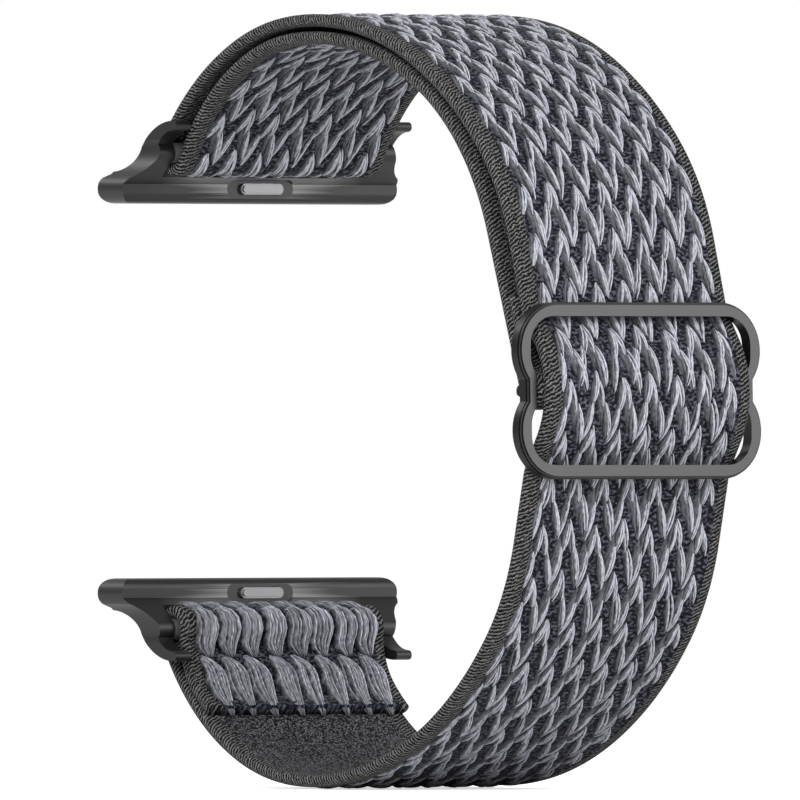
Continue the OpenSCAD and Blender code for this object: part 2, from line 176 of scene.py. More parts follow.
# Latches: a spring-loaded steel button behind a thin pressed cover. It clicks into a dent
# in the slot that takes the adapter, and stops the adapter from sliding.
button_steel = metal("button steel", (0.22, 0.22, 0.225), 0.30, 7000.0, 0.000008)
cover_steel = metal("cover steel", (0.05, 0.05, 0.052), 0.34, 7000.0, 0.000008)
spring_wire = metal("spring wire", (0.55, 0.55, 0.56), 0.24, 4000.0, 0.000005)
finish_nodes(button_steel, "upper_latch_button", "lower_latch_button")
finish_nodes(cover_steel, "upper_latch_cover", "lower_latch_cover")

# Spring bars: a turned steel tube with a pin at each end, pushed out by a coil spring.
# They stand inside the webbing's loops, between the ears.
bar_steel = metal("bar steel", (0.45, 0.45, 0.46), 0.28, 5000.0, 0.000006)
finish_nodes(bar_steel, *[f"{end}_{piece}" for end in ("upper", "lower")
                          for piece in ("bar_tube", "bar_tip_near", "bar_tip_far")])

# Slider: one flat steel frame with two windows and a thin bar set back between them. It is
# stamped, its edges are tumbled round, and it is coated dark grey like the adapters.
millimetre = 0.001
slider_angle = 1.5
frame_front = 33.35
slider_facing = (np.cos(np.radians(slider_angle)), 0.0, np.sin(np.radians(slider_angle)))
# painted shade: the slider's rounded edges, its sides and all behind its front face are coloured darker, as
# if turned from the light
slider_coat = metal("slider coat", (0.080, 0.080, 0.082), 0.33, 8000.0, 0.000008, painted_edge_shade=0.022,
                    front=(slider_facing, frame_front * millimetre))
finish_nodes(slider_coat, "slider_buckle")

# Webbing: one strip of elastic nylon, 22 mm by 1.1 mm. Its path runs from the sewn end at
# the lower bar round the loop, over the slider, round the upper bar and back to the slider.
# Lengths are in millimetres here, and angles in degrees round the loop from its front upwards.
web_half_width = 11.0
web_thickness = 1.1
loop_radius = 33.5
layer_gap = 0.4
draw_in = 95.0
bars_middle = 0.85
bar_back, bar_half, bar_radius = 19.8, 20.75, 0.9
window_height, wire_width, frame_thickness, centre_bar = 5.9, 1.2, 1.2, 1.0
bend_set_back, centre_set_back = 0.5, 0.25
running_clearance = 0.05
sewn_gap = 0.02
outer_middle = loop_radius - web_thickness / 2
return_middle = loop_radius - 1.5 * web_thickness - layer_gap
bar_loop = bar_radius + running_clearance + web_thickness / 2
fold_loop = centre_bar / 2 + running_clearance + web_thickness / 2
path_step = 0.1


def toward(angle):
    """The unit vector at an angle in the plane of the loop, from the front towards the top."""
    return np.array([np.cos(np.radians(angle)), np.sin(np.radians(angle))])


def angle_of(v):
    """The angle at which a vector points, in the plane of the loop."""
    return np.degrees(np.arctan2(v[1], v[0]))


def joining_radius(centre, radius, bar, angle, side):
    """Radius of the arc that touches a circle from inside, at an angle, and also touches the loop round a
    bar. With side -1 that loop lies inside the arc, and with side 1 outside it."""
    k = (bar - centre) @ toward(angle)
    span = (bar - centre) @ (bar - centre) - bar_loop ** 2
    return (radius ** 2 - 2 * radius * k + span) / (2 * (radius - k + side * bar_loop))


def arc(centre, radius, start, stop):
    """Points along an arc, from the angle start to the angle stop, about one path step apart."""
    count = max(4, int(abs(np.radians(stop - start)) * radius / path_step))
    return centre + radius * toward(np.linspace(start, stop, count)).T


def line(start, stop):
    """Points along a straight stretch, about one path step apart."""
    count = max(4, int(np.linalg.norm(stop - start) / path_step))
    return start + np.linspace(0, 1, count)[:, None] * (stop - start)


def lowered(points):
    """Points drawn upwards, mirrored to the lower half of the loop."""
    return points * [1, -1]


def tilted(points):
    """Points drawn with the slider level, turned up to where the slider sits."""
    c, s = toward(slider_angle)
    return points @ np.array([[c, s], [-s, c]])


# the bars, each seen with its own adapter upwards, and the arcs that lead to their loops
origin = np.zeros(2)
upper_bar = np.array([-bar_back, bar_half + bars_middle])
lower_bar = np.array([-bar_back, bar_half - bars_middle])
upper_r = joining_radius(origin, outer_middle, upper_bar, draw_in, -1)
lower_r = joining_radius(origin, outer_middle, lower_bar, draw_in, -1)
upper_c = (outer_middle - upper_r) * toward(draw_in)
lower_c = (outer_middle - lower_r) * toward(draw_in)
inner_r = joining_radius(origin, return_middle, upper_bar, draw_in, 1)
inner_c = (return_middle - inner_r) * toward(draw_in)
fold_touch, fold_end = 136.0, 129.0
fold_r = lower_r - web_thickness - sewn_gap
small_r = joining_radius(lower_c, fold_r, lower_bar, fold_touch, 1)
small_c = lower_c + (fold_r - small_r) * toward(fold_touch)
lower_end = lowered(np.concatenate([
    arc(lower_c, fold_r, fold_end, fold_touch),
    arc(small_c, small_r, fold_touch, 180 + angle_of(small_c - lower_bar)),
    arc(lower_bar, bar_loop, 360 + angle_of(small_c - lower_bar), angle_of(lower_bar - lower_c)),
    arc(lower_c, lower_r, angle_of(lower_bar - lower_c), draw_in)]))

# the runs that lean in to the slider, and the wave under and over its three bars
outer_lean, return_lean, outer_leave, return_leave = 15.0, 17.4, 40.0, 60.0
bend_radius, crest_radius, join_length = 3.0, 8.0, 2.4
tail_length, tail_cut, tail_radius = 9.0, 0.5, 3.0
centre_at = np.array([frame_front - frame_thickness - centre_set_back, 0.0])
frame_height = 2 * window_height + 2 * wire_width + centre_bar
bend = np.array([frame_front - frame_thickness - bend_set_back, frame_height / 2 - wire_width / 2])
crest_x = centre_at[0] + fold_loop + web_thickness / 2 + running_clearance + web_thickness
crest_c = np.array([crest_x - crest_radius, 0.0])
crest_middle = crest_radius - web_thickness / 2
to_bend = bend - crest_c
slope = np.degrees(np.arctan2(bend[1], bend[0] - crest_c[0])) - np.degrees(
    np.arccos(crest_radius / np.linalg.norm(to_bend)))
outer_d = bend @ toward(outer_lean) - web_thickness / 2
outer_turn = np.cos(np.radians(outer_leave - outer_lean))
outer_turn_r = (outer_d - outer_middle * outer_turn) / (1 - outer_turn)
outer_turn_c = (outer_middle - outer_turn_r) * toward(outer_leave)
outer_turn_end = outer_turn_c + outer_turn_r * toward(outer_lean)
bend_c = bend + bend_radius / np.cos(np.radians((slope - outer_lean) / 2)) * toward((slope + outer_lean) / 2)
bend_middle = bend_radius + web_thickness / 2
bend_end = bend_c - bend_middle * toward(outer_lean)
outer_join = bend_end + join_length * toward(outer_lean + 90)
return_d = centre_at @ toward(return_lean) - fold_loop
return_turn = np.cos(np.radians(return_leave - return_lean))
return_turn_r = (return_d - return_middle * return_turn) / (1 - return_turn)
return_turn_c = (return_middle - return_turn_r) * toward(return_leave)
return_turn_end = return_turn_c + return_turn_r * toward(return_lean)
wrap_start = centre_at - fold_loop * toward(return_lean)
return_join = wrap_start + tail_length * toward(return_lean + 90)
tail_angle = return_lean + np.degrees(np.arccos(
    1 - (2 * fold_loop - web_thickness - sewn_gap) / (fold_loop + tail_radius)))
tail_c = centre_at + (fold_loop + tail_radius) * toward(tail_angle)
tail_lap = (web_thickness + sewn_gap) * toward(return_lean)
tail_end = wrap_start + tail_lap + (tail_length - tail_cut) * toward(return_lean + 90)

half_crossing = np.concatenate([
    arc(crest_c, crest_middle, 0.0, slope),
    line(crest_c + crest_middle * toward(slope), bend_c - bend_middle * toward(slope)),
    arc(bend_c, bend_middle, 180 + slope, 180 + outer_lean),
    line(bend_end, outer_join)])
outer_half = [
    line(outer_join, outer_turn_end),
    arc(outer_turn_c, outer_turn_r, outer_lean, outer_leave)]
stretches = {
    "lower_end": lower_end,
    "lower_run": tilted(lowered(np.concatenate([*outer_half,
        arc(origin, outer_middle, outer_leave, draw_in + slider_angle)])))[::-1],
    "crossing": tilted(np.concatenate([lowered(half_crossing)[::-1], half_crossing])),
    "upper_run": tilted(np.concatenate([*outer_half,
        arc(origin, outer_middle, outer_leave, draw_in - slider_angle)])),
    "upper_loop": np.concatenate([
        arc(upper_c, upper_r, draw_in, angle_of(upper_bar - upper_c)),
        arc(upper_bar, bar_loop, angle_of(upper_bar - upper_c), 360 + angle_of(inner_c - upper_bar)),
        arc(inner_c, inner_r, 180 + angle_of(inner_c - upper_bar), draw_in)]),
    "return_run": tilted(np.concatenate([
        arc(origin, return_middle, draw_in - slider_angle, return_leave),
        arc(return_turn_c, return_turn_r, return_leave, return_lean),
        line(return_turn_end, return_join)])),
    "fold": tilted(np.concatenate([
        line(return_join, wrap_start),
        arc(centre_at, fold_loop, return_lean - 180, tail_angle),
        arc(tail_c, tail_radius, 180 + tail_angle, 180 + return_lean),
        line(tail_c - tail_radius * toward(return_lean), tail_end)])),
}

# the whole strip as one route, with its places and headings at every path step
same_place = 0.01
route = np.concatenate(list(stretches.values()))
keep = np.concatenate([[True], np.linalg.norm(np.diff(route, axis=0), axis=1) > same_place])
ends = np.cumsum([len(points) for points in stretches.values()])
run_at_point = np.concatenate([[0], np.cumsum(np.linalg.norm(np.diff(route, axis=0), axis=1))])
reach = {}
begin = 0
for stretch, end in zip(stretches, ends):
    reach[stretch] = (run_at_point[begin], run_at_point[end - 1])
    begin = end
run_length = run_at_point[-1]
even_run = np.arange(0, run_length, path_step)
even_route = np.stack([np.interp(even_run, run_at_point[keep], route[keep, k]) for k in (0, 1)], 1)
heading = np.gradient(even_route, axis=0)
heading /= np.linalg.norm(heading, axis=1)[:, None]


def on_webbing(run, across, height):
    """Places in the frame for lengths along the strip, widths across it and heights off its middle, towards
    the patterned face. A length past an end of the strip goes straight on."""
    place = [np.interp(run, even_run, even_route[:, k]) for k in (0, 1)]
    ahead = [np.interp(run, even_run, heading[:, k]) for k in (0, 1)]
    size = np.hypot(*ahead)
    past = run - np.clip(run, even_run[0], even_run[-1])
    x = place[0] + (past * ahead[0] + height * ahead[1]) / size
    z = place[1] + (past * ahead[1] - height * ahead[0]) / size
    return np.stack([x, across + 0 * x, z], -1) * millimetre


def grid_mesh(name, points, flat_map, closed=False, slots=None):
    """A mesh of K grids of A by B points, four neighbours to a face. With closed, the last column meets
    the first. Slots gives each column of faces its material."""
    count, rows, columns = points.shape[:3]
    across = columns if closed else columns - 1
    i, j = np.meshgrid(np.arange(rows - 1), np.arange(across), indexing="ij")
    after = (j + 1) % columns
    this_row, next_row = i * columns, (i + 1) * columns
    quad = np.stack([this_row + j, next_row + j, next_row + after, this_row + after], -1).reshape(-1, 4)
    faces = (np.arange(count)[:, None, None] * rows * columns + quad).reshape(-1, 4)
    wide = flat_map.shape[2]
    this_corner, next_corner = i * wide + j, (i + 1) * wide + j
    corner = np.stack([this_corner, next_corner, next_corner + 1, this_corner + 1], -1).reshape(-1, 4)
    corners = (np.arange(count)[:, None, None] * rows * wide + corner).reshape(-1)
    mesh = bpy.data.meshes.new(name)
    mesh.vertices.add(count * rows * columns)
    mesh.vertices.foreach_set("co", points.reshape(-1).astype(np.float32))
    mesh.loops.add(faces.size)
    mesh.loops.foreach_set("vertex_index", faces.reshape(-1).astype(np.int32))
    mesh.polygons.add(len(faces))
    mesh.polygons.foreach_set("loop_start", np.arange(0, faces.size, 4, dtype=np.int32))
    mesh.polygons.foreach_set("use_smooth", np.ones(len(faces), bool))
    if slots is not None:
        mesh.polygons.foreach_set("material_index", np.tile(slots, count * (rows - 1)).astype(np.int32))
    mesh.update(calc_edges=True)
    layer = mesh.uv_layers.new(name="UVMap")
    layer.data.foreach_set("uv", flat_map.reshape(-1, 2)[corners].reshape(-1).astype(np.float32))
    piece = bpy.data.objects.new(name, mesh)
    bpy.context.scene.collection.objects.link(piece)
    return piece


sink_depth, sink_edge, sink_slope = 0.13, 9.75, 0.35
selvedge_edge = 9.5
face_points, edge_points = 61, 9


def web_profile():
    """Once round the strip's section: widths, heights and lengths round. The patterned face is sunk a
    little between its two selvedges, and a half circle rounds each edge."""
    round_r = web_thickness / 2
    flat = web_half_width - round_r
    face = np.linspace(-flat, flat, face_points)
    sunk = sink_depth * np.clip((sink_edge - abs(face)) / sink_slope, 0, 1)
    turn = np.linspace(90, -90, edge_points)[1:-1]
    right = toward(turn) * round_r
    width = np.concatenate([face, flat + right[0], face[::-2], -flat - right[0][::-1]])
    height = np.concatenate([round_r - sunk, right[1], 0 * face[::-2] - round_r, right[1][::-1]])
    steps = np.hypot(np.diff(width, append=width[0]), np.diff(height, append=height[0]))
    return width, height, np.concatenate([[0], np.cumsum(steps)])


def new_textile(name, roughness):
    """A fresh material for fibre, matt and with hardly any gloss."""
    material, nodes, links, shader = new_finish(name)
    shader.inputs["Roughness"].default_value = roughness
    shader.inputs["Specular IOR Level"].default_value = 0.12
    return material, nodes, links, shader


def two_tones(nodes, links, pattern, low, low_colour, high, high_colour):
    """Colours the surface from one colour, where the pattern is low, to another, where it is high."""
    ramp = nodes.new("ShaderNodeValToRGB")
    for stop, place, colour in zip(ramp.color_ramp.elements, (low, high), (low_colour, high_colour)):
        stop.position = place
        stop.color = (*colour, 1.0)
    links.new(pattern, ramp.inputs["Fac"])
    links.new(ramp.outputs["Color"], nodes["Principled BSDF"].inputs["Base Color"])


def yarn_ground():
    """The sunk ground of the patterned face: dark elastic and nylon, with paler fibres in it."""
    material, nodes, links, shader = new_textile("webbing ground", 0.75)
    where = nodes.new("ShaderNodeTexCoord")
    stretch = nodes.new("ShaderNodeMapping")
    stretch.inputs["Scale"].default_value = (1.0, 1.5, 1.0)
    links.new(where.outputs["UV"], stretch.inputs["Vector"])
    fibres = nodes.new("ShaderNodeTexNoise")
    fibres.inputs["Scale"].default_value = 2.4
    fibres.inputs["Detail"].default_value = 3.0
    links.new(stretch.outputs["Vector"], fibres.inputs["Vector"])
    two_tones(nodes, links, fibres.outputs["Fac"], 0.47, (0.003, 0.003, 0.005), 0.66, (0.095, 0.100, 0.130))
    emboss(nodes, links, fibres.outputs["Fac"], 0.8, 0.00012)
    return material


def ribbed_selvedge():
    """The woven edges: dark, with fine uneven slanting ribs of grey yarn."""
    material, nodes, links, shader = new_textile("webbing selvedge", 0.7)
    where = nodes.new("ShaderNodeTexCoord")
    slant = nodes.new("ShaderNodeMapping")
    slant.inputs["Rotation"].default_value = (0.0, 0.0, np.radians(62.0))
    links.new(where.outputs["UV"], slant.inputs["Vector"])
    ribs = nodes.new("ShaderNodeTexWave")
    ribs.inputs["Scale"].default_value = 0.98
    ribs.inputs["Distortion"].default_value = 6.5
    ribs.inputs["Detail"].default_value = 5.0
    ribs.inputs["Detail Scale"].default_value = 2.4
    ribs.inputs["Detail Roughness"].default_value = 0.7
    links.new(slant.outputs["Vector"], ribs.inputs["Vector"])
    two_tones(nodes, links, ribs.outputs["Fac"], 0.48, (0.004, 0.004, 0.004), 0.95, (0.155, 0.155, 0.151))
    emboss(nodes, links, ribs.outputs["Fac"], 0.9, 0.00008)
    return material


def knit_back():
    """The plain side: a fine even knit of dark grey yarn, small loops in a checked order."""
    material, nodes, links, shader = new_textile("webbing back", 0.8)
    where = nodes.new("ShaderNodeTexCoord")
    loops = nodes.new("ShaderNodeTexVoronoi")
    loops.inputs["Scale"].default_value = 5.2
    loops.inputs["Randomness"].default_value = 0.75
    links.new(where.outputs["UV"], loops.inputs["Vector"])
    two_tones(nodes, links, loops.outputs["Distance"], 0.0, (0.26, 0.26, 0.28), 0.58, (0.007, 0.007, 0.008))
    emboss(nodes, links, loops.outputs["Distance"], 0.8, 0.00012).invert = True
    return material


held_by = {"lower_end": "band", "upper_loop": "band", "crossing": "slider", "fold": "slider"}
stands_for = {"lower_end": "lower_webbing_end", "lower_run": "lower_webbing_run",
              "crossing": "slider_webbing", "upper_run": "upper_webbing_run",
              "upper_loop": "upper_webbing_loop", "return_run": "return_webbing_run",
              "fold": "slider_webbing_fold"}


def hold(piece, stretch):
    """Ties what lies on a stretch of the strip to what moves that stretch. The bars' loops stay with the
    strap's ends, the wave and the fold go with the slider, and the runs between them are baked in place,
    tied to no body."""
    if stretch in held_by:
        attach(piece, held_by[stretch])
    else:
        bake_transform(piece)


ground, selvedge, back = yarn_ground(), ribbed_selvedge(), knit_back()
width, height, round_length = web_profile()
face_slots = np.where(abs(width) > selvedge_edge, 1, np.where(height > 0, 0, 2))
cut_ends = {"lower_end": 0, "fold": -1}
ring_step = 0.4
for stretch, (start, stop) in reach.items():
    run = np.linspace(start, stop, max(8, int((stop - start) / ring_step)))
    tall = height[None] * np.ones((len(run), 1))
    if stretch in cut_ends:
        # the last ring closes flat over the cut end of the strip
        end = cut_ends[stretch]
        run = np.insert(run, end, run[end]) if end == 0 else np.append(run, run[-1])
        tall = np.insert(tall, 0, 0 * height, 0) if end == 0 else np.append(tall, 0 * height[None], 0)
    shape = on_webbing(run[:, None], width[None], tall)
    flat_map = np.stack(np.broadcast_arrays(round_length[None, :], run[:, None]), -1)
    webbing = grid_mesh("webbing_" + stretch, shape[None], flat_map[None], closed=True, slots=face_slots)
    for material in (ground, selvedge, back):
        webbing.data.materials.append(material)
    hold(webbing, stretch)
    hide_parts(stands_for[stretch])

# Pattern: pale textured yarn floats over the ground in rows of zigzags, 2.9 mm apart and
# 4.5 mm to the row. Each leg of a zigzag is two strokes that overlap, each of two bright
# strands and a darker strand along one side that is painted shade, and a soft sheet of
# darker yarn lies beside one leg of each.
zigzag_pitch, row_pitch, leg_length = 2.88, 4.47, 5.9
zigzags = 7
pattern_half = 9.55
peak_stagger = 0.2
# the lean says where a valley lies between two peaks, and a jog is a leg's small step sideways between
# its strokes: both change near the slider's middle, at so many millimetres from it
lean_below, lean_above, lean_change = 0.66, 0.36, 6.0
jog_change, jog_width, jog_at = 7.5, 0.10, 0.42
upper_overlap, lower_overlap = 0.45, 0.35
upper_stroke, lower_stroke, sheet_width = 0.66, 0.72, 1.25
edge_room = 0.1
sheet_aside, sheet_top, sheet_foot = 0.42, 0.3, 0.5
sheet_low, sheet_high = -0.25, -0.05
strand_pinch, strand_spread, strand_low = 0.35, 0.65, -0.22
points_along, points_across = 10, 5


def yarn(name, light_and_shade_bands):
    """Bulky nylon yarn: fine filaments along it, over stripes of painted light and shade from one side of
    the bundle to the other, a painted highlight where the bundle is brightest and painted shade towards its
    sides.
    Each stripe is a place across the bundle and a brightness, and the two outermost come first."""
    material, nodes, links, shader = new_textile(name, 0.6)
    where = nodes.new("ShaderNodeTexCoord")
    stretch = nodes.new("ShaderNodeMapping")
    stretch.inputs["Scale"].default_value = (4.2, 1.5, 1.0)
    links.new(where.outputs["UV"], stretch.inputs["Vector"])
    filaments = nodes.new("ShaderNodeTexNoise")
    filaments.inputs["Scale"].default_value = 1.3
    filaments.inputs["Detail"].default_value = 3.0
    links.new(stretch.outputs["Vector"], filaments.inputs["Vector"])
    split = nodes.new("ShaderNodeSeparateXYZ")
    links.new(where.outputs["UV"], split.inputs["Vector"])
    loose = nodes.new("ShaderNodeSeparateXYZ")
    links.new(filaments.outputs["Color"], loose.inputs["Vector"])
    side = nodes.new("ShaderNodeMath")
    side.inputs[1].default_value = -0.4
    links.new(split.outputs["X"], side.inputs[0])
    fray = nodes.new("ShaderNodeMath")
    fray.operation = "MULTIPLY_ADD"
    fray.inputs[1].default_value = 0.8
    links.new(loose.outputs["Y"], fray.inputs[0])
    links.new(side.outputs["Value"], fray.inputs[2])
    ramp = nodes.new("ShaderNodeValToRGB")
    for k, (place, value) in enumerate(light_and_shade_bands):
        stop = ramp.color_ramp.elements[k] if k < 2 else ramp.color_ramp.elements.new(place)
        stop.position = place
        stop.color = (0.96 * value, 0.98 * value, 1.1 * value, 1)
    links.new(fray.outputs["Value"], ramp.inputs["Fac"])
    shade = nodes.new("ShaderNodeMapRange")
    shade.inputs["From Min"].default_value = 0.36
    shade.inputs["From Max"].default_value = 0.60
    shade.inputs["To Min"].default_value = 0.45
    shade.inputs["To Max"].default_value = 1.1
    links.new(filaments.outputs["Fac"], shade.inputs["Value"])
    tint = nodes.new("ShaderNodeMix")
    tint.data_type = "RGBA"
    tint.blend_type = "MULTIPLY"
    tint.inputs["Factor"].default_value = 1.0
    links.new(ramp.outputs["Color"], tint.inputs["A"])
    links.new(shade.outputs["Result"], tint.inputs["B"])
    links.new(tint.outputs["Result"], shader.inputs["Base Color"])
    emboss(nodes, links, filaments.outputs["Fac"], 0.5, 0.00006)
    return material


# each yarn's colour across its bundle is painted light: a painted highlight at the bright place and painted
# shade falling to its sides
ridge_yarn = yarn("ridge yarn", ((0.05, 0.03), (0.98, 0.03), (0.34, 0.60), (0.58, 0.50)))
shaded_side_yarn = yarn("shaded side yarn", ((0.05, 0.10), (0.95, 0.01), (0.30, 0.19), (0.60, 0.08)))
sheet_yarn = yarn("sheet yarn", ((0.0, 0.26), (1.0, 0.012), (0.5, 0.11)))
stitch_yarn = yarn("stitch thread", ((0.0, 0.02), (1.0, 0.02), (0.5, 0.07)))
loose_yarn = yarn("loose yarn", ((0.0, 0.004), (1.0, 0.004), (0.3, 0.98), (0.55, 0.24)))
dice = np.random.default_rng(7)


def floats(name, material, first, last, broad, low, high, bulge=0.0, curl=0.0, drop=0.0):
    """Yarn bundles as one mesh. Each runs from its first to its last point on the strip, given as width and
    length, bows a little, swells to broad in its middle and rises from low at its ends to high. Bulge bows
    it further to one side, curl bends it like an S, and drop sinks its last end."""
    along = np.linspace(0, 1, points_along)[None, :, None]
    side = np.linspace(-1, 1, points_across)[None, None, :]
    swell = np.sin(np.pi * along) ** 0.55
    step = last - first
    size = np.linalg.norm(step, axis=1)[:, None, None]
    bow = (bulge + dice.uniform(-0.05, 0.05, len(first)))[:, None, None] * np.sin(np.pi * along)
    bow = bow + curl * np.sin(2 * np.pi * along)
    offset = side * broad[:, None, None] / 2 * swell + bow
    y = first[:, 0, None, None] + step[:, 0, None, None] * along + offset * step[:, 1, None, None] / size
    run = first[:, 1, None, None] + step[:, 1, None, None] * along - offset * step[:, 0, None, None] / size
    arch = np.sqrt(np.clip(1 - side ** 2, 0, 1))
    rise = low + (np.reshape(high, (-1, 1, 1)) - low) * np.sin(np.pi * along) ** 0.6 * (0.25 + 0.75 * arch)
    rise = rise - np.reshape(drop, (-1, 1, 1)) * along ** 6
    shift = dice.uniform(0, 40, len(first))[:, None, None]
    flat_map = np.stack(np.broadcast_arrays((side + 1) / 2, along * size + shift), -1)
    piece = grid_mesh(name, on_webbing(run, y, web_thickness / 2 + rise), flat_map)
    piece.data.materials.append(material)
    return piece


def zigzags_between(start, stop):
    """First and last points and widths of what lies between two lengths of the strip: the strokes of the
    zigzags, and the softer sheets of yarn that run beside each leg with a jog."""
    slider_middle = sum(reach["crossing"]) / 2
    first_row = np.ceil((start - leg_length) / row_pitch)
    last_row = np.floor((stop + leg_length) / row_pitch)
    row, column = np.meshgrid(np.arange(first_row, last_row + 1), np.arange(-zigzags, zigzags + 1),
                              indexing="ij")
    staggered = np.where(column.ravel() % 2, -peak_stagger, peak_stagger)
    peak = np.stack([column.ravel() * zigzag_pitch, row.ravel() * row_pitch + staggered], 1)
    below_slider = peak[:, 1] < slider_middle - jog_change
    lean = np.where(peak[:, 1] < slider_middle + lean_change, lean_below, lean_above)
    strokes, sheets = [], []
    for leg in (0, 1):
        valley = peak + np.stack([(lean - leg) * zigzag_pitch, 0 * lean - leg_length], 1)
        jogs = np.where(below_slider, leg == 1, leg == 0)
        middle = peak + jog_at * (valley - peak)
        jog = np.stack([jog_width * (1 - 2 * leg) * jogs, 0 * lean], 1)
        strokes.append((peak, middle - jog - [0, upper_overlap], np.full_like(lean, upper_stroke)))
        strokes.append((middle + jog + [0, lower_overlap], valley, np.full_like(lean, lower_stroke)))
        # a leg without a jog gets no sheet: its top is no number, and drops out below
        top = np.where(jogs[:, None], peak - [sheet_aside, sheet_top], np.nan)
        sheets.append((top, valley - [sheet_aside, -sheet_foot], np.full_like(lean, sheet_width)))
    picked = []
    for group in (strokes, sheets):
        first, last, broad = [np.concatenate(part) for part in zip(*group)]
        middle = (first + last) / 2
        inside = (middle[:, 1] >= start) & (middle[:, 1] < stop)
        inside &= abs(middle[:, 0]) < pattern_half - edge_room
        first, last = first[inside], last[inside]
        broad = broad[inside] * dice.uniform(0.9, 1.1, inside.sum())
        first[:, 0] = np.clip(first[:, 0], -pattern_half, pattern_half)
        last[:, 0] = np.clip(last[:, 0], -pattern_half, pattern_half)
        picked.append((first, last, broad))
    return picked


def strands(name, material, first, last, broad, places, width, high):
    """Single strands of strokes: one for each place across the stroke, pinched together at both ends."""
    count = len(first) * len(places)
    beside = np.repeat(places, len(first)) * np.tile(broad, len(places)) + dice.uniform(-0.04, 0.04, count)
    pinched = np.stack([strand_pinch * beside, dice.uniform(-0.3, 0.3, count)], 1)
    first, last = np.tile(first, (len(places), 1)), np.tile(last, (len(places), 1))
    widths = width * dice.uniform(0.85, 1.2, count)
    heights = high + dice.uniform(-0.05, 0.05, count)
    return floats(name, material, first + pinched, last + pinched, widths, strand_low, heights,
                  bulge=-strand_spread * beside)


bright_strands = {"places": (0.30, 0.0), "width": 0.34, "high": 0.12}
# the darker strand is painted shade: a shaded copy of the bright yarn along one side of every stroke
shaded_side_strand = {"places": (-0.45,), "width": 0.52, "high": 0.02}
fold_rows = [0.3, 5.8, 9.9, 14.0]
for stretch, (start, stop) in reach.items():
    if stretch == "lower_end":
        start += fold_rows[-1]
    stroke_places, sheet_places = zigzags_between(start, stop)
    hold(strands("pattern_" + stretch, ridge_yarn, *stroke_places, **bright_strands), stretch)
    hold(strands("strands_" + stretch, shaded_side_yarn, *stroke_places, **shaded_side_strand), stretch)
    hold(floats("sheets_" + stretch, sheet_yarn, *sheet_places, sheet_low, sheet_high), stretch)

# Fold-back: at the sewn end the webbing is slack, so its yarn bulges into fat curled tufts,
# two rows from the free end up to the bar and one more round the bar. Each tuft is seven
# strands side by side, pinched at both ends, that spread over a round back.
tufts, per_tuft = 8, 7
tuft_pitch, tuft_slant, tip_spread, tip_limit = 2.5, 0.6, 0.18, 9.8
top_overrun, foot_overrun = 0.35, np.array([0.75, 0.15, 0.15])
tuft_height, row_fullness = 0.95, np.array([1.0, 1.0, 0.5])
back_height, back_half = 0.05, 1.25
row, column, strand = [part.ravel() for part in np.meshgrid(
    np.arange(len(fold_rows) - 1), np.arange(tufts), np.arange(per_tuft), indexing="ij")]
wander = dice.uniform(-0.25, 0.25, (len(fold_rows) - 1, tufts))[row, column]
start, stop = np.take(fold_rows, row), np.take(fold_rows, row + 1)
beside = (strand / (per_tuft - 1) - 0.5) * 2.0 + dice.uniform(-0.12, 0.12, len(row))
centre = (column - (tufts - 1) / 2) * tuft_pitch + wander
lift = back_height + tuft_height * np.sqrt(1 - (beside / back_half) ** 2)
lift += dice.uniform(-0.12, 0.12, len(row))
lift *= row_fullness[row]
upper_place = np.clip(centre + tip_spread * beside - tuft_slant, -tip_limit, tip_limit)
lower_place = np.clip(centre + tip_spread * beside + tuft_slant, -tip_limit, tip_limit)
upper_tip = np.stack([upper_place, stop + top_overrun], 1)
lower_tip = np.stack([lower_place, start - foot_overrun[row]], 1)
fold_back = floats("pattern_fold_back", loose_yarn, upper_tip, lower_tip,
                   dice.uniform(0.38, 0.66, len(row)), low=-0.30, high=lift,
                   bulge=-0.8 * beside, curl=-0.4, drop=np.where(row == 0, 0.7, 0.0))
hold(fold_back, "lower_end")

# Seams: lock stitches of dark thread across the strip, two rows through the fold-back and
# two through the tail behind the slider. Each stitch is a short bundle sunk at its ends.
seam_half, stitch_count = 9.6, 15
stitch_at = np.linspace(-seam_half, seam_half, stitch_count)
stitch_half, thread_width = 0.55, 0.28
free_end_seam, tail_seams = 0.45, (1.2, 5.0)
seams = {"lower_end": [free_end_seam, fold_rows[1]],
         "fold": [reach["fold"][0] + place for place in tail_seams]}
for stretch, rows in seams.items():
    across, along = [part.ravel() for part in np.meshgrid(stitch_at, rows)]
    middle = np.stack([across, along], 1)
    stitches = floats("stitches_" + stretch, stitch_yarn, middle - [stitch_half, 0],
                      middle + [stitch_half, 0], np.full_like(across, thread_width), low=-0.25, high=0.12)
    hold(stitches, stretch)

# Springs: hard wire wound on a rod, with its ends cut square. Each bar's spring is two halves
# here, one to each pin. A latch has two short springs side by side.
coil_radius, wire_thickness = 0.45, 0.2
turn_points, wire_sides = 12, 6
pin_end, pin_travel, bar_turns = 9.58, 1.0, 8
latch_back, latch_front, latch_travel, latch_turns = -24.49, -22.51, 0.6, 4
latch_rise, latch_beside = 3.1, 1.15


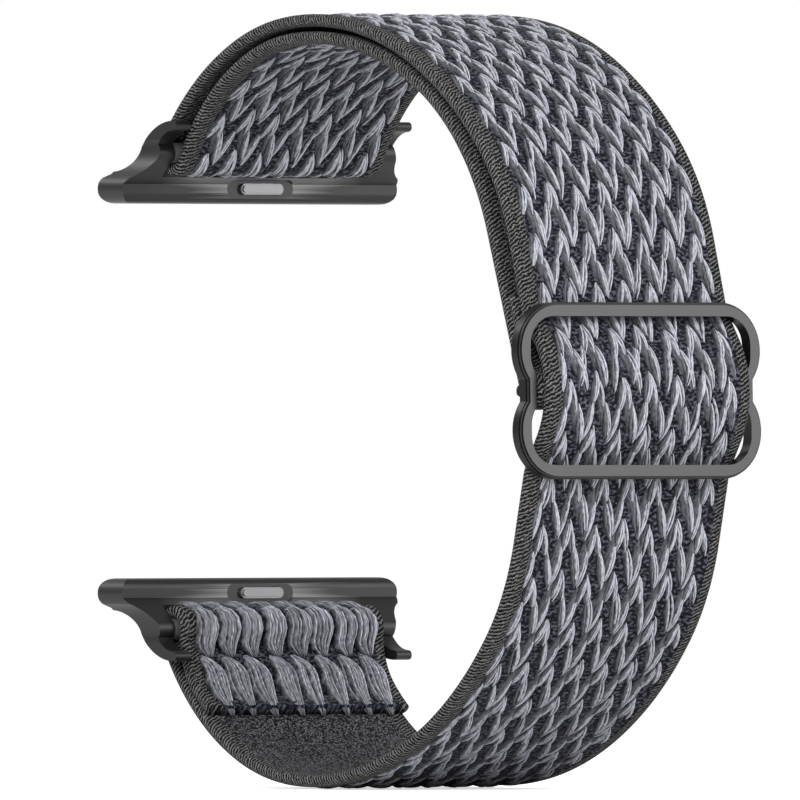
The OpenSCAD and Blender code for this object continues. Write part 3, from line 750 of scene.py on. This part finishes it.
def coils(name, starts, ahead, length, turns):
    """Helices of round wire as one mesh, from each start along ahead. The wire's section stands on the
    line from the axis to the wire."""
    ahead = np.array(ahead, float)
    beside = np.array([0.0, 0.0, 1.0])
    turn = np.linspace(0, 2 * np.pi * turns, turn_points * turns + 1)[:, None]
    outward = np.cos(turn) * beside + np.sin(turn) * np.cross(ahead, beside)
    middle = coil_radius * outward + turn / turn[-1] * length * ahead
    round_wire = np.linspace(0, 2 * np.pi, wire_sides + 1)[:-1, None]
    ring = wire_thickness / 2 * (np.cos(round_wire) * outward[:, None] + np.sin(round_wire) * ahead)
    shape = np.array(starts, float)[:, None, None] + middle[None, :, None] + ring[None]
    flat_map = np.zeros((len(starts), len(turn), wire_sides + 1, 2))
    piece = grid_mesh(name, shape * millimetre, flat_map, closed=True)
    piece.data.materials.append(spring_wire)
    return piece


latch_length = latch_front - latch_back
for end, upwards in (("upper", 1), ("lower", -1)):
    bar_z = upwards * bar_half + bars_middle
    latch_z = bar_z - upwards * latch_rise
    for half, way in (("near", -1), ("far", 1)):
        spring = coils(f"{end}_bar_spring_{half}", [(-bar_back, 0, bar_z)], (0, way, 0), pin_end, bar_turns)
        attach(spring, f"{end}_adapter")
        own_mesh(spring)
        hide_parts(f"{end}_bar_spring")
    starts = [(latch_back, -latch_beside, latch_z), (latch_back, latch_beside, latch_z)]
    springs = coils(f"{end}_latch_coils", starts, (1, 0, 0), latch_length, latch_turns)
    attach(springs, f"{end}_adapter")
    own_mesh(springs)
    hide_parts(f"{end}_latch_springs")


# Floor: a plain pale sheet under the strap, white to the camera except for the strap's shadow.
# Three soft boxes and an even pale studio light the strap, and none of them is part of it.
def white_ground():
    """Pale and matt, and lifted to white where the camera sees it, so that only the shadow stays grey."""
    material, nodes, links, shader = new_finish("floor")
    shader.inputs["Base Color"].default_value = (0.86, 0.86, 0.86, 1)
    shader.inputs["Roughness"].default_value = 0.9
    shader.inputs["Specular IOR Level"].default_value = 0.1
    shader.inputs["Emission Color"].default_value = (1, 1, 1, 1)
    ray = nodes.new("ShaderNodeLightPath")
    lift = nodes.new("ShaderNodeMapRange")
    lift.inputs["To Max"].default_value = 0.62
    links.new(ray.outputs["Is Camera Ray"], lift.inputs["Value"])
    links.new(lift.outputs["Result"], shader.inputs["Emission Strength"])
    return material


# the floor lies below the yarn, which stands a little proud of the strip's lowest point
yarn_room, floor_half = 0.0002, 3.0
x, y = np.meshgrid([-floor_half, floor_half], [-floor_half, floor_half], indexing="ij")
level = np.full_like(x, cad_box[0].z - yarn_room)
floor = grid_mesh("floor", np.stack([x, y, level], -1)[None], np.zeros((1, 2, 2, 2)))
floor.data.materials.append(white_ground())

world = bpy.data.worlds.new("studio")
bpy.context.scene.world = world
world.use_nodes = True
backdrop = world.node_tree.nodes["Background"]
backdrop.inputs["Color"].default_value = (1, 1, 1, 1)
lit = world.node_tree.nodes.new("ShaderNodeLightPath")
seen = world.node_tree.nodes.new("ShaderNodeMapRange")
seen.inputs["To Min"].default_value = 0.45
seen.inputs["To Max"].default_value = 1.0
world.node_tree.links.new(lit.outputs["Is Camera Ray"], seen.inputs["Value"])
world.node_tree.links.new(seen.outputs["Result"], backdrop.inputs["Strength"])


def lamp(name, place, size, power):
    """A square soft box at a place, turned to face the loop's centre."""
    light = bpy.data.lights.new(name, "AREA")
    light.size, light.energy = size, power
    holder = bpy.data.objects.new(name, light)
    holder.location = place
    holder.rotation_mode = "QUATERNION"
    holder.rotation_quaternion = (-Vector(place)).to_track_quat("-Z", "Y")
    bpy.context.scene.collection.objects.link(holder)


lamp("key lamp", (0.42, -0.50, 0.30), 0.35, 4.3)
lamp("fill lamp", (0.62, 0.30, 0.24), 0.50, 2.6)
lamp("rim lamp", (-0.40, -0.30, 0.45), 0.30, 2.0)

bpy.context.scene.view_settings.view_transform = "Standard"
